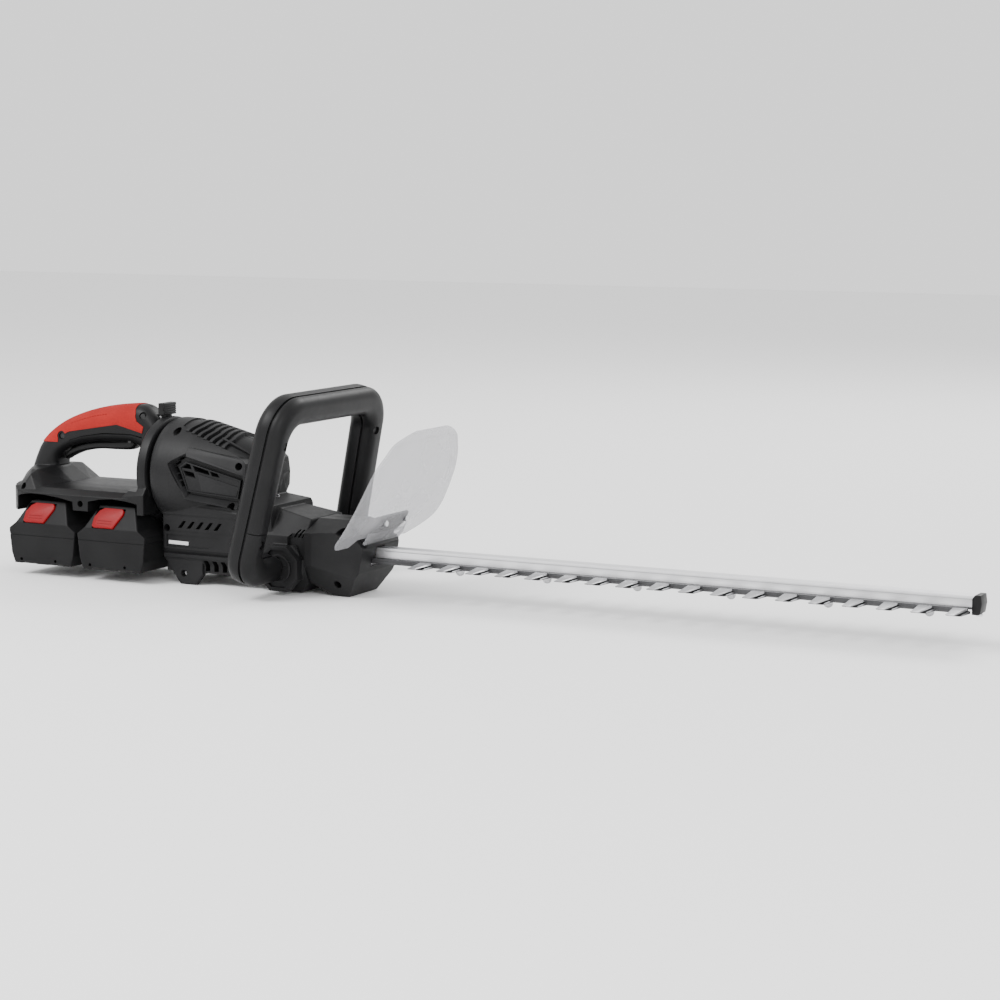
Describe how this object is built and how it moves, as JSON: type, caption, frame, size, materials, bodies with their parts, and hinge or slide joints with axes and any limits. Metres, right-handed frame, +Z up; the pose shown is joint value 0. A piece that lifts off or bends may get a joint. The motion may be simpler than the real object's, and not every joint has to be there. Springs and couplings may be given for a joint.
{
  "type": "cordless hedge trimmer",
  "caption": "Cordless double-sided hedge trimmer with a long toothed blade pair on a guide bar, clear hand guard, front loop handle, turning rear handle and side-by-side battery packs.",
  "frame": {"origin": "on the ground under the middle of the bounding box", "axes": "+X towards the blade tip, +Y to the tool's left, +Z up"},
  "size_m": [1.051, 0.226, 0.2058],
  "materials": {
    "housing_plastic": "fine spark texture",
    "black_plastic": "satin moulded",
    "red_rubber": "soft-touch overmould",
    "red_plastic": "moulded gloss",
    "clear_plastic": "frosted clear",
    "bar_aluminium": "extruded, anodised",
    "blade_steel": "ground teeth, dark spine",
    "machined_steel": "turned and plated",
    "cell_wrap": "shrink wrap",
    "circuit_board": "solder mask"
  },
  "bodies": {
    "tool_body": {"motor_housing_right": "housing_plastic", "motor_housing_left": "housing_plastic", "nose_cover_right": "housing_plastic", "nose_cover_left": "housing_plastic", "gear_case_lower": "bar_aluminium", "gear_case_upper": "bar_aluminium", "gear_case_screws": "machined_steel", "guide_bar": "bar_aluminium", "bar_bolts": "machined_steel", "bar_spacers": "machined_steel", "bar_nuts": "machined_steel", "tip_cap": "black_plastic", "blade_guard": "clear_plastic", "guard_bracket": "black_plastic", "guard_screws": "machined_steel", "loop_rear_shell": "housing_plastic", "loop_front_shell": "housing_plastic", "loop_screws": "machined_steel", "front_paddle_spring": "machined_steel", "front_switch": "black_plastic", "motor_can": "machined_steel", "motor_end_cap": "black_plastic", "motor_bearings": "machined_steel", "crank_bearings": "machined_steel", "control_board": "circuit_board", "heat_sink": "bar_aluminium", "housing_screws": "machined_steel", "swivel_ring": "black_plastic", "paddle_pin": "machined_steel"},
    "rear_handle": {"handle_shell_right": "housing_plastic", "handle_shell_left": "housing_plastic", "red_grip": "red_rubber", "handle_screws": "machined_steel", "trigger_pin": "machined_steel", "trigger_spring": "machined_steel", "trigger_switch": "black_plastic", "terminal_blocks": "black_plastic", "latch_spring": "machined_steel"},
    "trigger": {"trigger": "black_plastic"},
    "lock_slide": {"latch_slide": "black_plastic"},
    "rear_battery": {"rear_pack_top": "housing_plastic", "rear_pack_base": "housing_plastic", "rear_pack_cells": "cell_wrap", "rear_pack_button_spring": "machined_steel"},
    "front_battery": {"front_pack_top": "housing_plastic", "front_pack_base": "housing_plastic", "front_pack_cells": "cell_wrap", "front_pack_button_spring": "machined_steel"},
    "rear_battery_button": {"rear_pack_button": "red_plastic"},
    "front_battery_button": {"front_pack_button": "red_plastic"},
    "loop_paddle": {"front_paddle": "black_plastic"},
    "upper_cutter": {"upper_blade": "blade_steel"},
    "lower_cutter": {"lower_blade": "blade_steel"},
    "motor_rotor": {"rotor": "machined_steel", "cooling_fan": "black_plastic", "pinion": "machined_steel"},
    "crank": {"crank_gear": "machined_steel", "crankshaft": "machined_steel"}
  },
  "joints": [
    {"name": "rear_handle_turn", "type": "hinge", "parent": "tool_body", "child": "rear_handle", "pos_m": [-0.3395, 0, 0.1126], "axis": [1, 0, 0], "range_deg": [-90, 90]},
    {"name": "lock_slide_pull", "type": "slide", "parent": "rear_handle", "child": "lock_slide", "axis": [-1, 0, 0], "range_m": [0, 0.005], "stiffness_N_per_m": 400, "springref_m": -0.004},
    {"name": "trigger_squeeze", "type": "hinge", "parent": "rear_handle", "child": "trigger", "pos_m": [-0.3925, 0, 0.141], "axis": [0, 1, 0], "range_deg": [0, 4.5], "stiffness_Nm_per_rad": 2, "springref_deg": -11.46},
    {"name": "front_paddle_squeeze", "type": "hinge", "parent": "tool_body", "child": "loop_paddle", "pos_m": [-0.1768, -0.08133, 0.10854], "axis": [0.9744, 0, -0.225], "range_deg": [0, 4], "stiffness_Nm_per_rad": 1.5, "springref_deg": -11.46},
    {"name": "upper_blade_stroke", "type": "slide", "parent": "tool_body", "child": "upper_cutter", "axis": [1, 0, 0], "range_m": [-0.007, 0.009]},
    {"name": "lower_blade_stroke", "type": "slide", "parent": "tool_body", "child": "lower_cutter", "axis": [1, 0, 0], "range_m": [-0.009, 0.007]},
    {"name": "crank_turn", "type": "hinge", "parent": "tool_body", "child": "crank", "pos_m": [-0.1335, 0, 0.04], "axis": [0, 0, 1], "continuous": true},
    {"name": "motor_turn", "type": "hinge", "parent": "tool_body", "child": "motor_rotor", "pos_m": [-0.2365, 0, 0.066], "axis": [1, 0, 0], "continuous": true},
    {"name": "rear_battery_slide", "type": "slide", "parent": "rear_handle", "child": "rear_battery", "axis": [0, -1, 0], "range_m": [0, 0.1]},
    {"name": "front_battery_slide", "type": "slide", "parent": "rear_handle", "child": "front_battery", "axis": [0, -1, 0], "range_m": [0, 0.1]},
    {"name": "rear_battery_button_press", "type": "slide", "parent": "rear_battery", "child": "rear_battery_button", "axis": [0, 0.866, -0.5], "range_m": [0, 0.003], "stiffness_N_per_m": 600, "springref_m": -0.004},
    {"name": "front_battery_button_press", "type": "slide", "parent": "front_battery", "child": "front_battery_button", "axis": [0, 0.866, -0.5], "range_m": [0, 0.003], "stiffness_N_per_m": 600, "springref_m": -0.004}
  ],
  "couplings": [
    {"joint": "lower_blade_stroke", "follows": "upper_blade_stroke", "ratio": -1},
    {"joint": "motor_turn", "follows": "crank_turn", "ratio": -3.3333}
  ]
}
